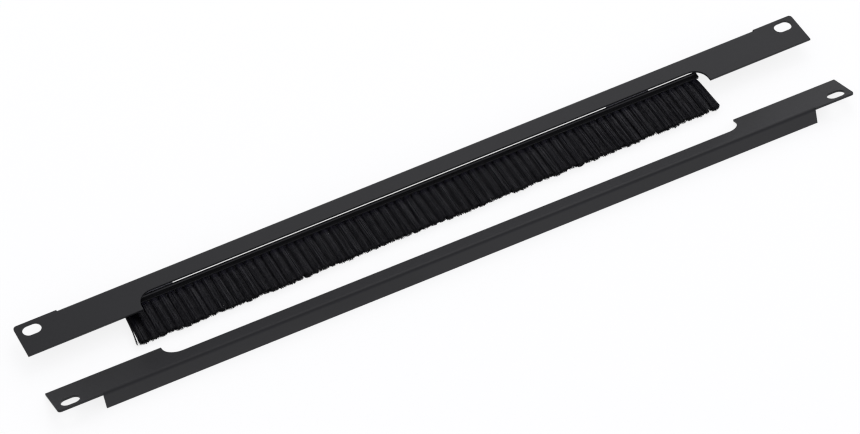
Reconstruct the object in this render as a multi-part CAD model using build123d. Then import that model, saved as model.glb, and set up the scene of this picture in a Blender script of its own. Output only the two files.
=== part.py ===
"""A split rack brush strip panel: two folded steel halves, the upper one carrying a tufted brush strip.

The halves lie side by side on a flat surface, as when the panel is opened to take cables. The upper
half lies level on its flange and on the back of the brush bar. The lower half lies on its flange and
on its mating edge, so it is tilted. Lengths are in millimetres and angles in degrees.
"""
from build123d import *
import math
import os
import random

os.makedirs("parts", exist_ok=True)

# Panel halves
panel_width = 482.6
half_height = 21.9
sheet = 1.2
bend_inner_radius = 0.8
flange_depth = 9.4
flange_length = 432.0
ear_corner_radius = 2.0
notch_length = 350.0
notch_depth = 10.7
notch_corner_radius = 8.5

# Rack slots in the ears
slot_length = 10.5
slot_width = 7.1
slot_from_end = 8.75
slot_from_outer_edge = 5.95

# Brush bar, behind the upper half
bar_height = 4.2
bar_thickness = 5.0
bar_overlap = 2.15
bar_end_margin = 3.75
bar_end_radius = 0.8
bar_lip_height = 1.0
bar_lip_rise = 0.5
bar_tab_length = 1.65
bar_tab_thickness = 1.8
brush_shift = -5.97

# Tufts and the wire anchors that hold them in the bar
brush_past_notch = 7.0
tuft_pitch = 5.08
bore_radius = 1.6
bore_depth = 2.8
root_clearance = 0.04
tuft_reach = 23.5
tuft_sides = 8
tip_width = 4.75
tip_depth = 4.2
trim_scatter = 0.45
trim_tilt = 6.0
tip_lean = 0.12
end_splay = 0.9
anchor_thickness = 0.3
anchor_width = 1.5
anchor_cover = 0.5
anchor_clearance = 0.03
brush_seed = 11

# Brackets between the upper half and the bar
bracket_length = 27.0
bracket_sheet = 1.0
bracket_inner_radius = 0.4
bracket_foot_from_bend = 1.05
bracket_foot_corner_radius = 1.2
bracket_lift = 0.5
left_bracket_from_bar_end = 19.1
right_bracket_from_bar_end = 44.3
peg_radius = 1.1
peg_clearance = 0.05
peg_spacing = 15.3
peg_head_radius = 1.9
peg_head_height = 0.9
peg_head_chamfer = 0.4

# How the two halves lie
halves_gap = 23.8
lower_shift = -0.53
lower_turn = -0.71

# How far each cutter reaches past what it cuts
overrun = 1.0

# Sizes that follow from the ones above
bend_outer_radius = bend_inner_radius + sheet
bracket_outer_radius = bracket_inner_radius + bracket_sheet
bar_bottom = notch_depth + bar_overlap - bar_height
bar_top = bar_bottom + bar_height
bar_middle_depth = flange_depth - bar_thickness / 2
bar_front_depth = flange_depth - bar_thickness
tuft_count = round((notch_length + brush_past_notch) / tuft_pitch)
bar_length = (tuft_count - 1) * tuft_pitch + 2 * bar_end_margin
left_bracket_place = brush_shift - bar_length / 2 + left_bracket_from_bar_end
right_bracket_place = brush_shift + bar_length / 2 - right_bracket_from_bar_end
bracket_foot_end = half_height - bend_outer_radius - bracket_foot_from_bend
lower_tilt = math.degrees(math.atan2(flange_depth - sheet, half_height - sheet))

# Sections of a tuft from the bar to the tip, as shares of its reach, its swell to full size and its lean
tuft_section_shares = ((0.0, 0.0, 0.0), (0.08, 0.8, 0.03), (1.0, 1.0, 1.0))


def half_panel():
    """One folded half, its front face on z = 0, its mating edge on y = 0 and its flange at the far edge."""
    face = Pos(0, half_height / 2, -sheet / 2) * Box(panel_width, half_height, sheet)
    outer_corners = face.edges().filter_by(Axis.Z).group_by(Axis.Y)[-1]
    face = fillet(outer_corners, ear_corner_radius)
    flange_cut = Pos(0, half_height - bend_outer_radius / 2, -sheet / 2) * Box(
        flange_length, bend_outer_radius, sheet + 2 * overrun
    )
    return face - flange_cut + folded_edge() - notch_cutter() - slot_cutters()


def folded_edge():
    """The bend and the flange along the outer edge, as one profile run along the panel."""
    bend_start = half_height - bend_outer_radius
    centre = (bend_start, -bend_outer_radius)
    outer_arc = CenterArc(centre, bend_outer_radius, 0, 90)
    inner_arc = CenterArc(centre, bend_inner_radius, 0, 90)
    flange_end = Line((half_height, -flange_depth), (half_height - sheet, -flange_depth))
    profile = make_face(
        [
            outer_arc,
            Line(outer_arc @ 0, flange_end @ 0),
            flange_end,
            Line(flange_end @ 1, inner_arc @ 0),
            inner_arc,
            Line(inner_arc @ 1, outer_arc @ 1),
        ]
    )
    section = Plane(origin=(-flange_length / 2, 0, 0), x_dir=(0, 1, 0), z_dir=(1, 0, 0))
    return extrude(section * profile, flange_length)


def notch_cutter():
    """The long notch in the mating edge, with round inner corners."""
    height = notch_depth + overrun
    cutter = Pos(0, notch_depth - height / 2, -sheet / 2) * Box(notch_length, height, sheet + 2 * overrun)
    inner_corners = cutter.edges().filter_by(Axis.Z).group_by(Axis.Y)[-1]
    return fillet(inner_corners, notch_corner_radius)


def slot_cutters():
    """The two obround rack slots, one in each ear."""
    sketch = SlotOverall(slot_length, slot_width)
    cutter = extrude(sketch, sheet / 2 + overrun, both=True)
    reach = panel_width / 2 - slot_from_end
    height = half_height - slot_from_outer_edge
    return [Pos(side * reach, height, -sheet / 2) * cutter for side in (-1, 1)]


def tuft_places():
    """The middle of each tuft along the bar."""
    first = brush_shift - (tuft_count - 1) * tuft_pitch / 2
    return [first + index * tuft_pitch for index in range(tuft_count)]


def peg_places():
    """The middle of each staked peg along the bar."""
    middles = (left_bracket_place, right_bracket_place)
    return [middle + side * peg_spacing / 2 for middle in middles for side in (-1, 1)]


def brush_bar():
    """The plastic bar with its end tabs, a blind bore for each tuft and the staked pegs for the brackets."""
    lip_start = bar_top - bar_lip_height
    sunk_front = -(bar_front_depth + bar_lip_rise)
    profile = make_face(
        Polyline(
            (bar_bottom, -flange_depth),
            (bar_top, -flange_depth),
            (bar_top, -bar_front_depth),
            (lip_start, -bar_front_depth),
            (lip_start - bar_lip_rise, sunk_front),
            (bar_bottom, sunk_front),
            close=True,
        )
    )
    start = brush_shift - bar_length / 2
    section = Plane(origin=(start, 0, 0), x_dir=(0, 1, 0), z_dir=(1, 0, 0))
    bar = extrude(section * profile, bar_length)
    bar = fillet(bar.edges().filter_by(Axis.Z), bar_end_radius)
    bar += [Pos(place, bar_top, -bar_middle_depth) * staked_peg() for place in peg_places()]
    return bar - tab_cutters() - [bore_cutter(place) for place in tuft_places()]


def tab_cutters():
    """What is cut from the back of the bar's ends to leave a thin tab at the front of each."""
    depth = bar_thickness - bar_tab_thickness + overrun
    cutter = Box(2 * bar_tab_length, bar_height + 2 * overrun, depth)
    height = bar_bottom + bar_height / 2
    middle_depth = bar_front_depth + bar_tab_thickness + depth / 2
    return [
        Pos(brush_shift + side * bar_length / 2, height, -middle_depth) * cutter for side in (-1, 1)
    ]


def bore_cutter(place):
    """A blind bore up into the bar, with as many sides as the tuft that fills it."""
    floor = (place, bar_bottom + bore_depth, -bar_middle_depth)
    return extrude(ring(bore_radius, bore_radius, floor, 0), bore_depth + overrun)


def staked_peg():
    """A peg that stands on the bar's top side and ends in a flattened head over the bracket."""
    upright = Plane(origin=(0, 0, 0), x_dir=(1, 0, 0), z_dir=(0, 1, 0))
    peg = extrude(upright * Circle(peg_radius), bracket_sheet)
    head = extrude(upright.offset(bracket_sheet) * Circle(peg_head_radius), peg_head_height)
    head = chamfer(head.faces().sort_by(Axis.Y)[-1].edges(), peg_head_chamfer)
    return peg + head


def bracket(place):
    """A folded bracket: a foot on the back of the upper half and a web along the bar's top side."""
    web_end = -(flange_depth - bracket_lift)
    corner = (bar_top + bracket_outer_radius, -sheet - bracket_outer_radius)
    outer_arc = CenterArc(corner, bracket_outer_radius, 90, 90)
    inner_arc = CenterArc(corner, bracket_inner_radius, 90, 90)
    foot = Line((bracket_foot_end, -sheet), (bracket_foot_end, -sheet - bracket_sheet))
    web = Line((bar_top, web_end), (bar_top + bracket_sheet, web_end))
    profile = make_face(
        [
            outer_arc,
            Line(outer_arc @ 0, foot @ 0),
            foot,
            Line(foot @ 1, inner_arc @ 0),
            inner_arc,
            Line(inner_arc @ 1, web @ 1),
            web,
            Line(web @ 0, outer_arc @ 1),
        ]
    )
    start = place - bracket_length / 2
    section = Plane(origin=(start, 0, 0), x_dir=(0, 1, 0), z_dir=(1, 0, 0))
    folded = extrude(section * profile, bracket_length)
    foot_corners = folded.edges().filter_by(Axis.Z).group_by(Axis.Y)[-1]
    folded = fillet(foot_corners, bracket_foot_corner_radius)
    hole = Rot(90, 0, 0) * Cylinder(peg_radius + peg_clearance, bracket_sheet + 2 * overrun)
    sides = (-1, 1)
    middle = bar_top + bracket_sheet / 2
    return folded - [
        Pos(place + side * peg_spacing / 2, middle, -bar_middle_depth) * hole for side in sides
    ]


def ring(radius_x, radius_z, middle, tilt):
    """One cross-section of a tuft: a many-sided outline, square to the tuft but for the tilt of a trim."""
    step = 360 / tuft_sides
    points = [
        (
            radius_x * math.cos(math.radians(step * side)),
            radius_z * math.sin(math.radians(step * side)),
        )
        for side in range(tuft_sides)
    ]
    lean = math.radians(tilt)
    across = Plane(
        origin=middle,
        x_dir=(math.cos(lean), math.sin(lean), 0),
        z_dir=(math.sin(lean), -math.cos(lean), 0),
    )
    return across * make_face(Polyline(*points, close=True))


def tuft(place, lean, trim, tilt):
    """One bunch of bristles: a root that fills its bore, and a body that swells towards a trimmed tip."""
    root_radius = bore_radius - root_clearance
    sections = [ring(root_radius, root_radius, (place, bar_bottom + bore_depth, -bar_middle_depth), 0)]
    for reach_share, swell_share, lean_share in tuft_section_shares:
        radius_x = root_radius + (tip_width / 2 - root_radius) * swell_share
        radius_z = root_radius + (tip_depth / 2 - root_radius) * swell_share
        middle = (
            place + lean * lean_share,
            bar_bottom - (tuft_reach + trim) * reach_share,
            -bar_middle_depth,
        )
        sections.append(ring(radius_x, radius_z, middle, tilt * math.floor(reach_share)))
    return loft(sections, ruled=True) - anchor_window(place)


def anchor_middle():
    """How high the middle of an anchor lies in its bore."""
    return bar_bottom + bore_depth - anchor_cover - anchor_width / 2


def anchor_window(place):
    """The space that the anchor takes in a tuft's folded root."""
    return Pos(place, anchor_middle(), -bar_middle_depth) * Box(
        2 * bore_radius, anchor_width + 2 * anchor_clearance, anchor_thickness + 2 * anchor_clearance
    )


def anchor(place):
    """One flat wire anchor across its bore, short enough to clear the corner between two bore walls."""
    corner_loss = anchor_thickness / 2 * math.tan(math.pi / tuft_sides)
    length = 2 * (bore_radius - root_clearance - corner_loss)
    return Pos(place, anchor_middle(), -bar_middle_depth) * Box(length, anchor_width, anchor_thickness)


def tufts():
    """All the tufts, each with its own small lean, length and trim."""
    draw = random.Random(brush_seed)
    shapes = []
    for index, place in enumerate(tuft_places()):
        lean = draw.uniform(-tip_lean, tip_lean)
        if index == 0:
            lean = -end_splay
        if index == tuft_count - 1:
            lean = end_splay / 2
        trim = draw.uniform(-trim_scatter, trim_scatter)
        tilt = draw.uniform(-trim_tilt, trim_tilt)
        shapes.append(tuft(place, lean, trim, tilt))
    return Compound(children=shapes)


def upper_place():
    """Where the upper half's own frame lies: level, its flange standing on the surface."""
    return Location((0, 0, flange_depth))


def lower_place():
    """Where the lower half's own frame lies: turned end for end and tilted on to its mating edge."""
    tilt = math.radians(lower_tilt)
    turn = math.radians(lower_turn)
    along = (-math.cos(turn), -math.sin(turn), 0)
    out = (-math.sin(turn) * math.sin(tilt), math.cos(turn) * math.sin(tilt), math.cos(tilt))
    edge_height = sheet * math.cos(tilt)
    return Plane(origin=(lower_shift, -halves_gap, edge_height), x_dir=along, z_dir=out).location


def assembly():
    """Every node, laid on the surface in one common frame."""
    upper = upper_place()
    return {
        "upper_panel": upper * half_panel(),
        "lower_panel": lower_place() * half_panel(),
        "brush_bar": upper * brush_bar(),
        "left_bracket": upper * bracket(left_bracket_place),
        "right_bracket": upper * bracket(right_bracket_place),
        "bristle_tufts": upper * tufts(),
        "tuft_anchors": upper * Compound(children=[anchor(place) for place in tuft_places()]),
    }


def write(nodes):
    """Write each node with the origin under the middle of the whole, on the surface."""
    boxes = [shape.bounding_box() for shape in nodes.values()]
    low_x = min(box.min.X for box in boxes)
    high_x = max(box.max.X for box in boxes)
    low_y = min(box.min.Y for box in boxes)
    high_y = max(box.max.Y for box in boxes)
    low_z = min(box.min.Z for box in boxes)
    home = Pos(-(low_x + high_x) / 2, -(low_y + high_y) / 2, -low_z)
    for name, shape in nodes.items():
        export_step(home * shape, f"parts/{name}.step")
    print("origin moved by", home.position)


write(assembly())
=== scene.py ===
"""Looks of a split rack brush strip panel: powder coated steel, a plastic bar and nylon bristles."""

import logging
import math
import random
from dataclasses import dataclass
from enum import Enum, IntEnum

import bmesh
import bpy
from mathutils import Matrix, Vector


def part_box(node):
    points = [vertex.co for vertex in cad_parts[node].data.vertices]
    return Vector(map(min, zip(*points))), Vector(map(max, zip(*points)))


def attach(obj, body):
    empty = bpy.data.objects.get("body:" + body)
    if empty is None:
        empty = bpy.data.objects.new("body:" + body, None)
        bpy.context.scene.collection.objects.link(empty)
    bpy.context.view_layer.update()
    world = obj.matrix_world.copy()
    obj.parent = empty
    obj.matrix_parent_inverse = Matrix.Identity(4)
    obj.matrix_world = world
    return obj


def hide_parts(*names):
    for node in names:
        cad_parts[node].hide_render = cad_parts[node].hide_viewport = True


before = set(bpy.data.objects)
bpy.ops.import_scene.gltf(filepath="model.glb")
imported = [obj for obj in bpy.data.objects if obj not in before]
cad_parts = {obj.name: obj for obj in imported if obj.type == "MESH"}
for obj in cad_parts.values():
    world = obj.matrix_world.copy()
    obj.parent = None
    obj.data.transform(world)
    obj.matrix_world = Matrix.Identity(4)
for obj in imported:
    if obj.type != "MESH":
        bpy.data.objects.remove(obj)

Input = float | int | tuple | bpy.types.NodeSocket
Color = tuple[float, float, float]
log = logging.getLogger("brush_panel")
MM = 0.001
BODY = "root"
WHITE = (1.0, 1.0, 1.0, 1.0)
GOLDEN_ANGLE = math.pi * (3 - math.sqrt(5))


class Slot(Enum):
    """The record's material slots of the pieces made here; nothing here reads them."""

    POWDER_COAT = "powder_coat"
    BAR_PLASTIC = "bar_plastic"
    BRISTLE = "bristle"
    BRACKET_STEEL = "bracket_steel"


class Draw(IntEnum):
    """What a random number is drawn for. Each use adds its own number to the seed."""

    TURN = 1
    STRAY = 2
    CLUMP_SIDEWAYS = 3
    HAIR_SIDEWAYS = 4
    CLUMP_DEEP = 5
    HAIR_DEEP = 6
    CLUMP_TRIM = 7
    HAIR_TRIM = 8
    WAVE_SIDEWAYS = 9
    WAVE_DEEP = 10
    TONE = 12


class Graph:
    """A node tree with short calls that add nodes and join them."""

    def __init__(self, tree: bpy.types.NodeTree) -> None:
        """Take the tree that the calls fill.

        Args:
            tree: The node tree of a material, a world or a Geometry Nodes group.
        """
        self.tree = tree

    def join(self, target: bpy.types.NodeSocket, value: Input) -> None:
        """Set an input socket from a plain value or from another node's output.

        Args:
            target: The input socket.
            value: A number, a vector, a colour or an output socket.
        """
        if isinstance(value, bpy.types.NodeSocket):
            self.tree.links.new(value, target)
        else:
            target.default_value = value

    def add(self, kind: str, inputs: dict | None = None, **settings: object) -> bpy.types.Node:
        """Add a node, set its options and fill its inputs.

        Args:
            kind: The node's type name.
            inputs: Values or sockets by input name or index.
            **settings: The node's own properties.

        Returns:
            The new node.
        """
        node = self.tree.nodes.new(kind)
        for name, value in settings.items():
            setattr(node, name, value)
        for name, value in (inputs or {}).items():
            self.join(node.inputs[name], value)
        return node

    def math(self, operation: str, *values: Input) -> bpy.types.NodeSocket:
        """Return the output of a math node on one, two or three values."""
        node = self.add("ShaderNodeMath", dict(enumerate(values)), operation=operation)
        return node.outputs[0]

    def plus(self, first: Input, second: Input) -> bpy.types.NodeSocket:
        """Return the sum of two numbers."""
        return self.math("ADD", first, second)

    def minus(self, first: Input, second: Input) -> bpy.types.NodeSocket:
        """Return the first number less the second."""
        return self.math("SUBTRACT", first, second)

    def times(self, first: Input, second: Input) -> bpy.types.NodeSocket:
        """Return the product of two numbers."""
        return self.math("MULTIPLY", first, second)

    def power(self, base: Input, exponent: Input) -> bpy.types.NodeSocket:
        """Return a number raised to a power."""
        return self.math("POWER", base, exponent)

    def combine(self, x: Input, y: Input, z: Input) -> bpy.types.NodeSocket:
        """Return a vector made of three numbers."""
        return self.add("ShaderNodeCombineXYZ", {0: x, 1: y, 2: z}).outputs[0]

    def add_vectors(self, first: Input, second: Input) -> bpy.types.NodeSocket:
        """Return the sum of two vectors."""
        node = self.add("ShaderNodeVectorMath", {0: first, 1: second}, operation="ADD")
        return node.outputs[0]

    def scale_vector(self, vector: Input, factor: Input) -> bpy.types.NodeSocket:
        """Return a vector times a number."""
        node = self.add("ShaderNodeVectorMath", {0: vector, "Scale": factor}, operation="SCALE")
        return node.outputs[0]

    def remap(
        self,
        value: Input,
        low: Input,
        high: Input,
        source: tuple[float, float] = (0.0, 1.0),
        clamp: bool = True,
    ) -> bpy.types.NodeSocket:
        """Return a value brought from one range to another.

        Args:
            value: The value.
            low: What the source's first end becomes.
            high: What the source's second end becomes.
            source: The range that the value comes from.
            clamp: Whether the result stops at its range's ends.

        Returns:
            The new value.
        """
        inputs = {
            "Value": value,
            "From Min": source[0],
            "From Max": source[1],
            "To Min": low,
            "To Max": high,
        }
        return self.add("ShaderNodeMapRange", inputs, clamp=clamp).outputs[0]

    def mix(self, kind: str, share: Input, first: Input, second: Input) -> bpy.types.NodeSocket:
        """Return a blend of two values.

        Args:
            kind: The values' data type.
            share: The second value's share, from nought to one.
            first: The first value.
            second: The second value.

        Returns:
            The blend.
        """
        node = self.add("ShaderNodeMix", data_type=kind)
        for name, value in {"Factor": share, "A": first, "B": second}.items():
            self.join(self.used(node.inputs, name), value)
        return self.used(node.outputs, "Result")

    @staticmethod
    def used(sockets: bpy.types.bpy_prop_collection, name: str) -> bpy.types.NodeSocket:
        """Return the socket of a name that the node's options leave in use."""
        return next(socket for socket in sockets if socket.name == name and socket.enabled)


def empty_tree(owner: bpy.types.Material | bpy.types.World) -> bpy.types.NodeTree:
    """Give a material or a world a node tree with nothing in it.

    Args:
        owner: The material or the world.

    Returns:
        Its tree.
    """
    owner.use_nodes = True
    owner.node_tree.nodes.clear()
    return owner.node_tree


class Surface(Graph):
    """A new material with one surface shader, and calls for the patterns on it."""

    noise_range: tuple[float, float] = (0.3, 0.7)

    def __init__(self, name: str) -> None:
        """Make the material.

        Args:
            name: The material's name.
        """
        self.material = bpy.data.materials.new(name)
        super().__init__(empty_tree(self.material))
        self.shader = self.add("ShaderNodeBsdfPrincipled")
        self.add("ShaderNodeOutputMaterial", {"Surface": self.shader.outputs[0]})

    def put(self, name: str, value: Input) -> None:
        """Set one of the shader's inputs."""
        self.join(self.shader.inputs[name], value)

    def place(self) -> bpy.types.NodeSocket:
        """Return the object coordinates."""
        return self.add("ShaderNodeTexCoord").outputs["Object"]

    def drawn_out(self, stretch: float) -> bpy.types.NodeSocket:
        """Return object coordinates that draw a pattern out along X, by a scale under one."""
        inputs = {"Vector": self.place(), "Scale": (stretch, 1.0, 1.0)}
        return self.add("ShaderNodeMapping", inputs).outputs[0]

    def noise(self, place: Input, size: float, detail: float) -> bpy.types.NodeSocket:
        """Return a noise value whose features are about one size across."""
        node = self.add("ShaderNodeTexNoise", {"Vector": place, "Scale": 1 / size, "Detail": detail})
        return node.outputs[0]

    def around(self, noise: Input, middle: float, spread: float) -> bpy.types.NodeSocket:
        """Return a noise value brought to a middle value, give or take a spread."""
        return self.remap(noise, middle - spread, middle + spread, self.noise_range)

    def emboss(self, height: Input) -> None:
        """Raise the surface by a height in metres."""
        bump = self.add("ShaderNodeBump", {"Strength": 1.0, "Distance": 1.0, "Height": height})
        self.put("Normal", bump.outputs[0])


@dataclass(frozen=True)
class PowderCoat:
    """A baked powder coat: a matt dark paint film with a fine orange peel."""

    name: str
    color: Color
    color_spread: float = 0.10
    roughness: float = 0.53
    roughness_spread: float = 0.05
    specular: float = 0.5
    peel_size: float = 0.55 * MM
    peel_detail: float = 2.0
    peel_height: float = 0.014 * MM
    grain_size: float = 0.12 * MM
    grain_detail: float = 1.0
    grain_height: float = 0.005 * MM
    cloud_size: float = 60 * MM
    cloud_detail: float = 3.0

    def material(self) -> bpy.types.Material:
        """Make the paint, which reads object coordinates.

        Returns:
            The material.
        """
        surface = Surface(self.name)
        place = surface.place()
        cloud = surface.noise(place, self.cloud_size, self.cloud_detail)
        peel = surface.noise(place, self.peel_size, self.peel_detail)
        grain = surface.noise(place, self.grain_size, self.grain_detail)
        tone = surface.around(cloud, 1.0, self.color_spread)
        surface.put("Base Color", surface.scale_vector(self.color, tone))
        surface.put("Roughness", surface.around(grain, self.roughness, self.roughness_spread))
        surface.put("Specular IOR Level", self.specular)
        peel_height = surface.times(peel, self.peel_height)
        grain_height = surface.times(grain, self.grain_height)
        surface.emboss(surface.plus(peel_height, grain_height))
        return surface.material


@dataclass(frozen=True)
class MouldedPlastic:
    """A smooth moulded plastic with faint flow marks along the bar."""

    name: str
    color: Color
    roughness: float = 0.32
    roughness_spread: float = 0.08
    specular: float = 0.5
    flow_size: float = 0.8 * MM
    flow_detail: float = 3.0
    flow_stretch: float = 0.06
    flow_height: float = 0.006 * MM

    def material(self) -> bpy.types.Material:
        """Make the plastic, which reads object coordinates.

        Returns:
            The material.
        """
        surface = Surface(self.name)
        flow = surface.noise(surface.drawn_out(self.flow_stretch), self.flow_size, self.flow_detail)
        surface.put("Base Color", (*self.color, 1.0))
        surface.put("Roughness", surface.around(flow, self.roughness, self.roughness_spread))
        surface.put("Specular IOR Level", self.specular)
        surface.emboss(surface.times(flow, self.flow_height))
        return surface.material


@dataclass(frozen=True)
class NylonFilament:
    """Black nylon filament: a random tone per hair, with painted light and shade along each hair."""

    name: str
    color: Color
    tone_and_painted_light_attribute: str
    darkest: float = 0.35
    palest: float = 1.44
    roughness: float = 0.38
    specular: float = 0.36

    def material(self) -> bpy.types.Material:
        """Make the nylon from the tone with painted light. A tone over one goes on past the palest.

        Returns:
            The material.
        """
        surface = Surface(self.name)
        tone = surface.add("ShaderNodeAttribute", attribute_name=self.tone_and_painted_light_attribute).outputs["Fac"]
        level = surface.remap(tone, self.darkest, self.palest, clamp=False)
        surface.put("Base Color", surface.scale_vector(self.color, level))
        surface.put("Roughness", self.roughness)
        # The gloss follows the same tone, so its painted light and shade also give a painted sheen.
        surface.put("Specular IOR Level", surface.times(level, self.specular))
        return surface.material


@dataclass(frozen=True)
class FlatWire:
    """Drawn steel wire with fine lines along its length."""

    name: str
    color: Color
    metallic: float = 1.0
    roughness: float = 0.35
    line_size: float = 0.05 * MM
    line_detail: float = 2.0
    line_stretch: float = 0.05
    line_height: float = 0.002 * MM

    def material(self) -> bpy.types.Material:
        """Make the metal, which reads object coordinates.

        Returns:
            The material.
        """
        surface = Surface(self.name)
        lines = surface.noise(surface.drawn_out(self.line_stretch), self.line_size, self.line_detail)
        surface.put("Base Color", (*self.color, 1.0))
        surface.put("Metallic", self.metallic)
        surface.put("Roughness", self.roughness)
        surface.emboss(surface.times(lines, self.line_height))
        return surface.material


def add_object(name: str, data: bpy.types.ID) -> bpy.types.Object:
    """Put a new object into the scene.

    Args:
        name: The object's name.
        data: The mesh, the lamp or the camera that it holds.

    Returns:
        The object, at the origin.
    """
    made = bpy.data.objects.new(name, data)
    bpy.context.scene.collection.objects.link(made)
    return made


def plain_mesh(piece: bpy.types.Object, name: str) -> bpy.types.Object:
    """Replace an object with modifiers by a new one that holds their result.

    Args:
        piece: The object whose modifiers are used up.
        name: The new object's name.

    Returns:
        The new object, at the origin, with no modifier.
    """
    graph = bpy.context.evaluated_depsgraph_get()
    mesh = bpy.data.meshes.new_from_object(piece.evaluated_get(graph))
    bpy.data.objects.remove(piece)
    mesh.name = name
    return add_object(name, mesh)


def dress(piece: bpy.types.Object, material: bpy.types.Material) -> bpy.types.Object:
    """Give the whole of a piece one material and leave its shape alone.

    Args:
        piece: The piece.
        material: The material for all of it.

    Returns:
        The same piece.
    """
    piece.data.materials.clear()
    piece.data.materials.append(material)
    return piece


def count_triangles(piece: bpy.types.Object) -> int:
    """Return how many triangles a piece has."""
    piece.data.calc_loop_triangles()
    return len(piece.data.loop_triangles)


@dataclass
class RoundedPart:
    """A rigid part of the frame whose sharp edges get the small round that its finish gives them.

    The edges of a face that looks down, at the part's back, get only a share of the round, as a
    punched sheet has them. No edge is rounded near a cusp, where the round would fold over.
    """

    node: str
    slot: Slot
    material: bpy.types.Material
    edge_radius: float
    edge_steps: int = 3
    face_weight: int = 100
    merge_distance: float = 0.002 * MM
    flat_angle: float = math.radians(0.5)
    sharp_angle: float = math.radians(40)
    cusp_angle: float = math.radians(35)
    cusp_reach: float = 1.2 * MM
    back_share: float = 0.3
    back_slope: float = -0.9

    def build(self) -> bpy.types.Object:
        """Copy the node, merge its points, round its edges inside its own box and dress it.

        Returns:
            The piece that stands for the node.
        """
        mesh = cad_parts[self.node].data.copy()
        self._merge(mesh)
        rough = add_object(self.node + "_rough", mesh)
        bevel = rough.modifiers.new("edge", "BEVEL")
        bevel.width = self.edge_radius
        bevel.segments = self.edge_steps
        bevel.limit_method = "WEIGHT"
        bevel.use_clamp_overlap = False
        normals = rough.modifiers.new("flat_faces", "WEIGHTED_NORMAL")
        normals.mode = "FACE_AREA"
        normals.weight = self.face_weight
        normals.keep_sharp = True
        piece = plain_mesh(rough, self.node + "_finished")
        low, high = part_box(self.node)
        for point in piece.data.vertices:
            point.co = [min(max(place, near), far) for place, near, far in zip(point.co, low, high)]
        dress(piece, self.material)
        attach(piece, BODY)
        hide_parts(self.node)
        return piece

    def _merge(self, mesh: bpy.types.Mesh) -> None:
        """Join loose triangles into one skin of whole flat faces, and mark the edges that get a round.

        Args:
            mesh: A copy of the node's mesh.
        """
        work = bmesh.new()
        work.from_mesh(mesh)
        bmesh.ops.remove_doubles(work, verts=work.verts, dist=self.merge_distance)
        bmesh.ops.dissolve_limit(
            work,
            angle_limit=self.flat_angle,
            verts=work.verts,
            edges=work.edges,
            use_dissolve_boundaries=False,
        )
        weight = work.edges.layers.float.new("bevel_weight_edge")
        sharp = [edge for edge in work.edges if edge.calc_face_angle(0.0) > self.sharp_angle]
        cusps = self._cusps(sharp)
        for edge in sharp:
            middle = (edge.verts[0].co + edge.verts[1].co) / 2
            clear = all((middle - cusp).length > self.cusp_reach for cusp in cusps)
            back = any(face.normal.z < self.back_slope for face in edge.link_faces)
            edge[weight] = float(clear) * (self.back_share if back else 1.0)
            edge.smooth = clear
        for face in work.faces:
            face.smooth = True
        work.to_mesh(mesh)
        work.free()

    def _cusps(self, sharp: list[bmesh.types.BMEdge]) -> list[Vector]:
        """Find where two sharp edges run into each other at a very small angle.

        Args:
            sharp: The sharp edges.

        Returns:
            The points where they meet.
        """
        meeting = {}
        for edge in sharp:
            for end in edge.verts:
                meeting.setdefault(end, []).append(edge.other_vert(end).co - end.co)
        return [
            end.co.copy()
            for end, ways in meeting.items()
            if any(a.angle(b) < self.cusp_angle for i, a in enumerate(ways) for b in ways[:i])
        ]


@dataclass(frozen=True)
class Filaments:
    """The filaments of a tuft: their sizes, how they spread, and their tone with painted light and
    shade.

    They leave the round bore, swell at once to the tuft's shoulder, and go on widening to the tip.
    Shifts are of the tip, to either side, and clumps of filaments shift together. A tone runs from
    nought to one at random, goes over one only at the shoulder, where light is painted, and falls
    towards the tuft's sides and tips, where shade is painted.
    """

    tone_and_painted_light_attribute: str
    per_tuft: int = 280
    radius: float = 0.115 * MM
    sides: int = 3
    points_along: int = 7
    root_crowding: float = 2.2
    bore_radius: float = 1.5 * MM
    root_depth: float = 1.2 * MM
    reach: float = 24.36 * MM
    tip_width: float = 5.95 * MM
    tip_depth: float = 4.0 * MM
    swell_power: float = 24.0
    shoulder_share: float = 0.86
    strand_share: float = 0.82
    ragged: float = 0.9 * MM
    clump_size: int = 20
    clump_shift: float = 0.15 * MM
    hair_shift: float = 0.22 * MM
    wave: float = 0.22 * MM
    stray_share: float = 0.02
    stray_shift: float = 1.4 * MM
    own_tone: float = 0.75
    own_tone_spread: float = 0.25
    # Painted shade towards the tuft's sides, painted light at its shoulder, painted shade at its tip.
    edge_shade: float = 0.95
    shoulder_light: float = 4.8
    shoulder_fade: float = 9.3
    tip_shade: float = 0.25
    tip_fade: float = 4.0
    seed: int = 11

    def settings(self) -> dict[str, float | int]:
        """Name the sizes that the node group takes as inputs.

        Returns:
            The inputs' values by name.
        """
        return {
            "Filaments per tuft": self.per_tuft,
            "Filament radius": self.radius,
            "Bore radius": self.bore_radius,
            "Root depth": self.root_depth,
            "Reach": self.reach,
            "Tip width": self.tip_width,
            "Tip depth": self.tip_depth,
            "Ragged": self.ragged,
            "Clump shift": self.clump_shift,
            "Hair shift": self.hair_shift,
            "Wave": self.wave,
            "Stray share": self.stray_share,
            "Stray shift": self.stray_shift,
            "Seed": self.seed,
        }


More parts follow.
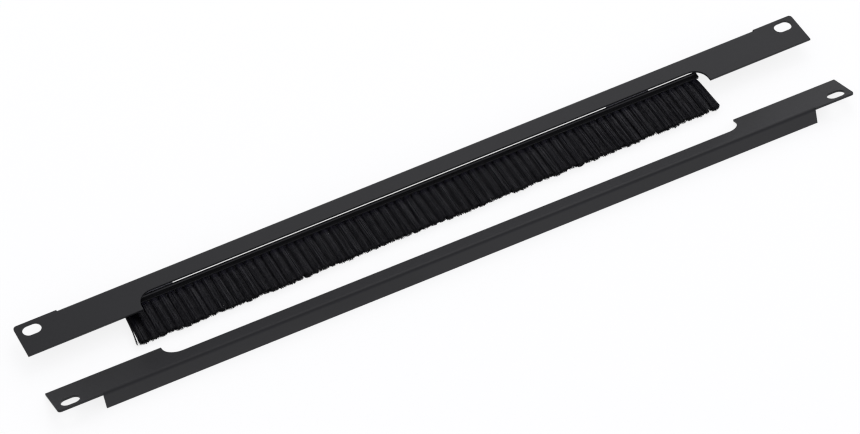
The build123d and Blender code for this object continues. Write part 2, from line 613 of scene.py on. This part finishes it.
class FilamentTree(Graph):
    """The Geometry Nodes group that turns each tuft's point into a bunch of filaments."""

    def __init__(self, filaments: Filaments, material: bpy.types.Material) -> None:
        """Make the group, its named inputs and its nodes.

        Args:
            filaments: The sizes of the filaments.
            material: The material of every filament.
        """
        super().__init__(bpy.data.node_groups.new("bristle_tuft", "GeometryNodeTree"))
        self.filaments = filaments
        self.identifiers = self._open_group()
        self.given = self.add("NodeGroupInput").outputs
        self._fill(material)

    def _open_group(self) -> dict[str, str]:
        """Give the group its geometry sockets and an input for each setting.

        Returns:
            Each setting's socket identifier by the setting's name.
        """
        interface = self.tree.interface
        interface.new_socket("Geometry", in_out="INPUT", socket_type="NodeSocketGeometry")
        interface.new_socket("Geometry", in_out="OUTPUT", socket_type="NodeSocketGeometry")
        identifiers = {}
        for name, value in self.filaments.settings().items():
            kind = "NodeSocketInt" if isinstance(value, int) else "NodeSocketFloat"
            socket = interface.new_socket(name, in_out="INPUT", socket_type=kind)
            identifiers[name] = socket.identifier
        return identifiers

    def _fill(self, material: bpy.types.Material) -> None:
        """Add the nodes that lead from the tufts' points to the dressed filaments.

        Args:
            material: The material of every filament.
        """
        copies = self.add(
            "GeometryNodeDuplicateElements",
            {"Geometry": self.given["Geometry"], "Amount": self.given["Filaments per tuft"]},
            domain="POINT",
        )
        points = self._draw_values(copies)
        line = self.add("GeometryNodeCurvePrimitiveLine", {"End": (0.0, 0.0, 1.0)})
        steps = self.add(
            "GeometryNodeResampleCurve",
            {"Curve": line.outputs[0], "Count": self.filaments.points_along},
        )
        hairs = self.add(
            "GeometryNodeInstanceOnPoints", {"Points": points, "Instance": steps.outputs[0]}
        )
        curves = self.add("GeometryNodeRealizeInstances", {0: hairs.outputs[0]})
        placed = self.add(
            "GeometryNodeSetPosition",
            {"Geometry": curves.outputs[0], "Position": self._hair_place()},
        )
        curves_with_painted_light = self._store(placed.outputs[0], self.filaments.tone_and_painted_light_attribute, self._painted_light_along())
        ring = self.add(
            "GeometryNodeCurvePrimitiveCircle",
            {"Resolution": self.filaments.sides, "Radius": self.given["Filament radius"]},
        )
        tubes = self.add(
            "GeometryNodeCurveToMesh",
            {"Curve": curves_with_painted_light, "Profile Curve": ring.outputs[0], "Fill Caps": True},
        )
        whole = self.add("GeometryNodeRealizeInstances", {0: tubes.outputs[0]})
        dressed = self.add(
            "GeometryNodeSetMaterial", {"Geometry": whole.outputs[0], "Material": material}
        )
        self.add("NodeGroupOutput", {"Geometry": dressed.outputs[0]})

    def _random(self, identity: Input, use: Draw) -> bpy.types.NodeSocket:
        """Draw a number between minus one and one.

        Args:
            identity: The number of the filament or the clump that it is drawn for.
            use: What it is drawn for.

        Returns:
            The number.
        """
        node = self.add(
            "FunctionNodeRandomValue",
            {"Min": -1.0, "Max": 1.0, "ID": identity, "Seed": self.plus(self.given["Seed"], float(use))},
            data_type="FLOAT",
        )
        return self.used(node.outputs, "Value")

    def _random_amount(self, identity: Input, use: Draw) -> bpy.types.NodeSocket:
        """Draw a number between nought and one."""
        return self.math("ABSOLUTE", self._random(identity, use))

    def _store(
        self, geometry: Input, name: str, value: Input, kind: str = "FLOAT"
    ) -> bpy.types.NodeSocket:
        """Keep a value on each point under a name.

        Args:
            geometry: The points or the curves.
            name: The attribute's name.
            value: The value.
            kind: The value's data type.

        Returns:
            The geometry with the value on it.
        """
        node = self.add(
            "GeometryNodeStoreNamedAttribute",
            {"Geometry": geometry, "Name": name},
            data_type=kind,
            domain="POINT",
        )
        self.join(self.used(node.inputs, "Value"), value)
        return node.outputs[0]

    def _stored(self, name: str, kind: str = "FLOAT") -> bpy.types.NodeSocket:
        """Return the value that is kept under a name."""
        node = self.add("GeometryNodeInputNamedAttribute", {"Name": name}, data_type=kind)
        return self.used(node.outputs, "Attribute")

    def _draw_values(self, copies: bpy.types.Node) -> bpy.types.NodeSocket:
        """Give every filament its own values, as named attributes on its point.

        Args:
            copies: The node that copies each tuft's point once for every filament.

        Returns:
            The points with the values on them.
        """
        hair = self.add("GeometryNodeInputIndex").outputs[0]
        clump = self.math("FLOOR", self.math("DIVIDE", hair, float(self.filaments.clump_size)))
        order = copies.outputs["Duplicate Index"]
        # A spiral of golden angles fills the bunch's round section evenly.
        filled = self.math("DIVIDE", self.plus(order, 0.5), self.given["Filaments per tuft"])
        out = self.math("SQRT", filled)
        turn = self.plus(self.times(order, GOLDEN_ANGLE), self._random(hair, Draw.TURN))
        across = self.times(out, self.math("COSINE", turn))
        deep = self.times(out, self.math("SINE", turn))
        stray = self.math("LESS_THAN", self._random_amount(hair, Draw.STRAY), self.given["Stray share"])
        hair_reach = self.plus(self.given["Hair shift"], self.times(stray, self.given["Stray shift"]))
        shift_x = self.plus(
            self.times(self._random(clump, Draw.CLUMP_SIDEWAYS), self.given["Clump shift"]),
            self.times(self._random(hair, Draw.HAIR_SIDEWAYS), hair_reach),
        )
        outermost = self.math("LESS_THAN", across, -self.filaments.strand_share)
        shift_z = self.plus(
            self.times(self._random(clump, Draw.CLUMP_DEEP), self.given["Clump shift"]),
            self.times(self._random(hair, Draw.HAIR_DEEP), self.given["Hair shift"]),
        )
        # The clump's draw and the filament's own have half of the ragged cut each.
        cut = self.plus(
            self._random_amount(clump, Draw.CLUMP_TRIM), self._random_amount(hair, Draw.HAIR_TRIM)
        )
        values = {
            "root": self.add("GeometryNodeInputPosition").outputs[0],
            "across": across,
            "deep": deep,
            "shift_x": self.plus(shift_x, self.times(outermost, self._stored("strand"))),
            "shift_z": shift_z,
            "short": self.times(cut, self.times(self.given["Ragged"], 0.5)),
            "wave_x": self._random(hair, Draw.WAVE_SIDEWAYS),
            "wave_z": self._random(hair, Draw.WAVE_DEEP),
            self.filaments.tone_and_painted_light_attribute: self._tone_with_side_shade(hair, across),
        }
        points = copies.outputs["Geometry"]
        for name, value in values.items():
            kind = "FLOAT_VECTOR" if name == "root" else "FLOAT"
            points = self._store(points, name, value, kind)
        return points

    def _tone_with_side_shade(self, hair: Input, across: Input) -> bpy.types.NodeSocket:
        """Work out a filament's tone, from nought to one: its own draw, with painted shade at the tuft's
        sides.

        Args:
            hair: The filament's number.
            across: The filament's place across its tuft, from minus one to one.

        Returns:
            The tone of each filament.
        """
        sizes = self.filaments
        drawn = self._random(hair, Draw.TONE)
        own = self.math("MULTIPLY_ADD", drawn, sizes.own_tone_spread, sizes.own_tone)
        # Painted shade: darker towards the tuft's sides, where the valleys between tufts lie in shade.
        shade = self.times(self.times(across, across), sizes.edge_shade)
        return self.times(own, self.minus(1.0, shade))

    def _painted_light_along(self) -> bpy.types.NodeSocket:
        """Work out the tone along a filament: painted light at the tuft's shoulder, painted shade at the
        tip.

        Returns:
            The tone at each point of each filament.
        """
        sizes = self.filaments
        way = self.add("GeometryNodeSplineParameter").outputs["Factor"]
        # Painted light near the shoulder and painted shade towards the tip.
        near = self.power(self.minus(1.0, way), sizes.shoulder_fade)
        light = self.math("MULTIPLY_ADD", near, sizes.shoulder_light, 1.0)
        shade = self.times(self.power(way, sizes.tip_fade), sizes.tip_shade)
        return self.times(self._stored(sizes.tone_and_painted_light_attribute), self.minus(light, shade))

    def _hair_place(self) -> bpy.types.NodeSocket:
        """Work out where a point of a filament goes, from its share of the way to the tip.

        Returns:
            The place of each point along each filament.
        """
        sizes = self.filaments
        step = self.add("GeometryNodeSplineParameter").outputs["Factor"]
        # The few points of a filament crowd at its root, where the bunch swells.
        way = self.power(step, sizes.root_crowding)
        shoulder = self.minus(1.0, self.power(self.minus(1.0, way), sizes.swell_power))
        growing = self.times(way, 1 - sizes.shoulder_share)
        swell = self.math("MULTIPLY_ADD", shoulder, sizes.shoulder_share, growing)
        late = self.times(way, way)
        bow = self.math("SINE", self.times(way, math.pi))
        across = self._stored("across")
        side = self.plus(
            self._widened(across, self.given["Tip width"], swell), self._bowed("wave_x", bow)
        )
        tip_x = self.plus(self._stored("lean"), self._stored("shift_x"))
        side = self.plus(side, self.times(tip_x, late))
        height = self.plus(
            self._widened(self._stored("deep"), self.given["Tip depth"], swell),
            self._bowed("wave_z", bow),
        )
        height = self.plus(height, self.times(self._stored("shift_z"), late))
        offset = self.combine(side, self.times(self._drop(way, across), -1.0), height)
        return self.add_vectors(self._stored("root", "FLOAT_VECTOR"), offset)

    def _widened(self, share: Input, tip: Input, swell: Input) -> bpy.types.NodeSocket:
        """Work out how far a point stands from its tuft's middle line.

        Args:
            share: The filament's place across the tuft, from minus one to one.
            tip: The tuft's width at the tip.
            swell: How far the width has grown from the bore's to the tip's, from nought to one.

        Returns:
            The distance, to either side.
        """
        growth = self.minus(self.times(tip, 0.5), self.given["Bore radius"])
        half = self.math("MULTIPLY_ADD", growth, swell, self.given["Bore radius"])
        return self.times(share, half)

    def _bowed(self, name: str, bow: Input) -> bpy.types.NodeSocket:
        """Return a filament's sideways bow, from the draw kept under a name."""
        return self.times(self.times(self._stored(name), bow), self.given["Wave"])

    def _drop(self, way: Input, across: Input) -> bpy.types.NodeSocket:
        """Work out how far a point hangs below the bar, from the bore's depth to the trimmed tip.

        Args:
            way: The point's share of the way to the tip.
            across: The filament's place across the tuft.

        Returns:
            The distance, which is negative inside the bore.
        """
        slope = self.times(
            self.times(self._stored("tilt"), across), self.times(self.given["Tip width"], 0.5)
        )
        length = self.plus(self.plus(self.given["Reach"], self._stored("trim")), slope)
        length = self.minus(length, self._stored("short"))
        whole = self.plus(length, self.given["Root depth"])
        start = self.times(self.given["Root depth"], -1.0)
        return self.math("MULTIPLY_ADD", whole, way, start)


@dataclass(frozen=True)
class Tuft:
    """One tuft: its place along the bar and the values that its point hands to the filaments."""

    place: float
    lean: float
    trim: float
    tilt: float
    strand: float


@dataclass
class Bristles:
    """The bunches of nylon filaments in the bar, made from one point per tuft.

    The strip is kept as several stretches, because one mesh would hold too many triangles.
    """

    material: bpy.types.Material
    filaments: Filaments
    tuft_count: int = 70
    stretch_count: int = 4
    trim_scatter: float = 0.45 * MM
    trim_tilt: float = 6.0
    tip_lean: float = 0.12 * MM
    end_splay: float = 0.9 * MM
    last_splay_share: float = 0.5
    strand_shift: float = 1.3 * MM

    def build(self) -> list[bpy.types.Object]:
        """Make every filament, one dressed mesh for each stretch of the strip.

        Returns:
            The meshes from left to right.
        """
        tree = FilamentTree(self.filaments, self.material)
        draw = random.Random(self.filaments.seed)
        tufts = [self._tuft(index, draw) for index in range(self.tuft_count)]
        ends = [
            round(self.tuft_count * part / self.stretch_count)
            for part in range(self.stretch_count + 1)
        ]
        pieces = []
        for part, (start, end) in enumerate(zip(ends, ends[1:]), start=1):
            roots = self._roots(tufts[start:end])
            modifier = roots.modifiers.new("filaments", "NODES")
            modifier.node_group = tree.tree
            for name, value in self.filaments.settings().items():
                modifier[tree.identifiers[name]] = value
            modifier[tree.identifiers["Seed"]] = self.filaments.seed + part
            piece = plain_mesh(roots, f"bristles_{part}")
            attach(piece, BODY)
            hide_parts("bristle_tufts")
            pieces.append(piece)
        return pieces

    def _tuft(self, index: int, draw: random.Random) -> Tuft:
        """Draw one tuft's own values. The end tufts splay, and the first one has a loose strand.

        Args:
            index: The tuft's number from the left.
            draw: The source of the draws.

        Returns:
            The tuft.
        """
        anchor_low, anchor_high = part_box("tuft_anchors")
        first = anchor_low.x + self.filaments.bore_radius
        last = anchor_high.x - self.filaments.bore_radius
        lean = draw.uniform(-self.tip_lean, self.tip_lean)
        trim = draw.uniform(-self.trim_scatter, self.trim_scatter)
        tilt = math.tan(math.radians(draw.uniform(-self.trim_tilt, self.trim_tilt)))
        strand = 0.0
        if index == 0:
            lean = -self.end_splay
            strand = -self.strand_shift
        if index == self.tuft_count - 1:
            lean = self.end_splay * self.last_splay_share
        place = first + (last - first) * index / (self.tuft_count - 1)
        return Tuft(place, lean, trim, tilt, strand)

    def _roots(self, tufts: list[Tuft]) -> bpy.types.Object:
        """Make an object with one point for each tuft, at the bar's underside, with its own values.

        Args:
            tufts: The tufts of one stretch.

        Returns:
            The object.
        """
        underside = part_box("brush_bar")[0].y
        anchor_low, anchor_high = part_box("tuft_anchors")
        height = (anchor_low.z + anchor_high.z) / 2
        mesh = bpy.data.meshes.new("tuft_roots")
        mesh.from_pydata([(tuft.place, underside, height) for tuft in tufts], [], [])
        for name in ("lean", "trim", "tilt", "strand"):
            values = [getattr(tuft, name) for tuft in tufts]
            mesh.attributes.new(name, "FLOAT", "POINT").data.foreach_set("value", values)
        return add_object("tuft_roots", mesh)


@dataclass
class BrushStrip:
    """The bar, its wire anchors and its bristles."""

    plastic: MouldedPlastic
    wire: FlatWire
    nylon: NylonFilament
    bar_edge_radius: float = 0.12 * MM
    bar_edge_steps: int = 2

    def build(self) -> list[bpy.types.Object]:
        """Build and dress the strip.

        Returns:
            The strip's pieces.
        """
        bar = RoundedPart(
            "brush_bar",
            Slot.BAR_PLASTIC,
            self.plastic.material(),
            self.bar_edge_radius,
            self.bar_edge_steps,
        )
        anchors = dress(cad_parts["tuft_anchors"], self.wire.material())
        bristles = Bristles(self.nylon.material(), Filaments(self.nylon.tone_and_painted_light_attribute))
        return [bar.build(), anchors, *bristles.build()]


@dataclass
class SheetParts:
    """The folded sheet parts: both panel halves and the brackets behind the upper one."""

    paint: PowderCoat
    bracket_paint: PowderCoat
    panel_edge_radius: float = 0.25 * MM
    bracket_edge_radius: float = 0.15 * MM

    def build(self) -> list[bpy.types.Object]:
        """Build and dress the sheet parts.

        Returns:
            The four pieces.
        """
        paint = self.paint.material()
        bracket_paint = self.bracket_paint.material()
        halves = [
            RoundedPart(node, Slot.POWDER_COAT, paint, self.panel_edge_radius)
            for node in ("upper_panel", "lower_panel")
        ]
        brackets = [
            RoundedPart(node, Slot.BRACKET_STEEL, bracket_paint, self.bracket_edge_radius)
            for node in ("left_bracket", "right_bracket")
        ]
        return [part.build() for part in halves + brackets]


@dataclass
class Studio:
    """A pale floor, a soft light tent and the camera at the photograph's angle."""

    floor_size: float = 6.0
    floor_color: Color = (0.30, 0.30, 0.30)
    floor_glow: float = 0.83
    world_low: float = 1.0
    world_high: float = 0.34
    world_seen: float = 1.0
    dark_side_share: float = 0.40
    side_spread: float = 0.15
    world_tint: Color = (0.965, 0.965, 1.05)
    key_power: float = 8.5
    key_size: float = 1.6
    key_place: tuple[float, float, float] = (0.9, 1.3, 1.5)
    camera_target: tuple[float, float, float] = (-7.35 * MM, 6.0 * MM, 0.18 * MM)
    camera_distance: float = 1753.5 * MM
    camera_azimuth: float = math.radians(-26.48)
    camera_elevation: float = math.radians(49.0)
    camera_roll: float = math.radians(-1.58)
    camera_lens: float = 134.25
    sensor_width: float = 36.0
    pixel_filter: float = 1.25

    def build(self) -> None:
        """Build the floor, the lights and the camera."""
        self._floor()
        self._world()
        self._key_light()
        self._camera()
        bpy.context.scene.view_settings.view_transform = "Standard"
        bpy.context.scene.cycles.filter_width = self.pixel_filter

    def _seen(self, graph: Graph) -> bpy.types.NodeSocket:
        """Find the rays that come from the camera, off a gloss or through something clear.

        Args:
            graph: The material's graph.

        Returns:
            One for such a ray, and zero for the rest.
        """
        path = graph.add("ShaderNodeLightPath").outputs
        glossy = graph.math("MAXIMUM", path["Is Camera Ray"], path["Is Glossy Ray"])
        return graph.math("MAXIMUM", glossy, path["Is Transmission Ray"])

    def _floor(self) -> None:
        """Lay a pale floor that glows a little to the camera and keeps the shadows."""
        half = self.floor_size / 2
        corners = [(-half, -half, 0), (half, -half, 0), (half, half, 0), (-half, half, 0)]
        mesh = bpy.data.meshes.new("floor")
        mesh.from_pydata(corners, [], [(0, 1, 2, 3)])
        floor = add_object("floor", mesh)
        material = bpy.data.materials.new("pale_floor")
        graph = Graph(empty_tree(material))
        matt = graph.add("ShaderNodeBsdfDiffuse", {"Color": (*self.floor_color, 1.0)})
        strength = graph.times(self._seen(graph), self.floor_glow)
        glow = graph.add("ShaderNodeEmission", {"Color": WHITE, "Strength": strength})
        both = graph.add("ShaderNodeAddShader", {0: matt.outputs[0], 1: glow.outputs[0]})
        graph.add("ShaderNodeOutputMaterial", {"Surface": both.outputs[0]})
        mesh.materials.append(material)

    def _world(self) -> None:
        """Light the whole from a tent, brighter at its walls than overhead, and darker at the left.

        The camera itself sees the tent as an even white.
        """
        world = bpy.data.worlds.new("tent")
        graph = Graph(empty_tree(world))
        way = graph.add("ShaderNodeTexCoord").outputs["Generated"]
        up = graph.add("ShaderNodeSeparateXYZ", {0: way}).outputs["Z"]
        right = (math.cos(self.camera_azimuth), math.sin(self.camera_azimuth), 0.0)
        aside = graph.add("ShaderNodeVectorMath", {0: way, 1: right}, operation="DOT_PRODUCT")
        wall = graph.remap(
            aside.outputs["Value"],
            self.world_low * self.dark_side_share,
            self.world_low,
            (-self.side_spread, self.side_spread),
        )
        level = graph.remap(up, wall, self.world_high)
        seen = graph.add("ShaderNodeLightPath").outputs["Is Camera Ray"]
        strength = graph.mix("FLOAT", seen, level, self.world_seen)
        tint = graph.mix("RGBA", seen, (*self.world_tint, 1.0), WHITE)
        light = graph.add("ShaderNodeBackground", {"Color": tint, "Strength": strength})
        graph.add("ShaderNodeOutputWorld", {"Surface": light.outputs[0]})
        bpy.context.scene.world = world

    def _key_light(self) -> None:
        """Hang one large soft light over the far right side."""
        lamp = bpy.data.lights.new("key", "AREA")
        lamp.shape = "SQUARE"
        lamp.size = self.key_size
        lamp.energy = self.key_power
        light = add_object("key", lamp)
        light.location = self.key_place
        light.rotation_euler = (-Vector(self.key_place)).to_track_quat("-Z", "Y").to_euler()

    def _camera(self) -> None:
        """Stand the camera where it sees the part as the photograph does."""
        lens = bpy.data.cameras.new("camera")
        lens.lens = self.camera_lens
        lens.sensor_width = self.sensor_width
        camera = add_object("camera", lens)
        turn = (
            Matrix.Rotation(self.camera_azimuth, 4, "Z")
            @ Matrix.Rotation(math.pi / 2 - self.camera_elevation, 4, "X")
            @ Matrix.Rotation(self.camera_roll, 4, "Z")
        )
        back = turn @ Vector((0, 0, self.camera_distance))
        camera.matrix_world = Matrix.Translation(Vector(self.camera_target) + back) @ turn
        bpy.context.scene.camera = camera


def main() -> None:
    """Build the part and its studio, and report each piece."""
    logging.basicConfig(level=logging.INFO, format="%(message)s")
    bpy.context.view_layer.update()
    sheet_parts = SheetParts(
        paint=PowderCoat("black_powder_coat", color=(0.0100, 0.0100, 0.0110)),
        bracket_paint=PowderCoat("bracket_powder_coat", color=(0.200, 0.200, 0.220)),
    )
    strip = BrushStrip(
        plastic=MouldedPlastic("black_bar_plastic", color=(0.0130, 0.0130, 0.0138)),
        wire=FlatWire("flat_steel_wire", color=(0.55, 0.55, 0.56)),
        nylon=NylonFilament(
            "black_nylon", color=(0.0066, 0.0062, 0.0106), tone_and_painted_light_attribute="tone"
        ),
    )
    for piece in sheet_parts.build() + strip.build():
        log.info("%s: %d triangles", piece.name, count_triangles(piece))
    Studio().build()


if __name__ == "__main__":
    main()
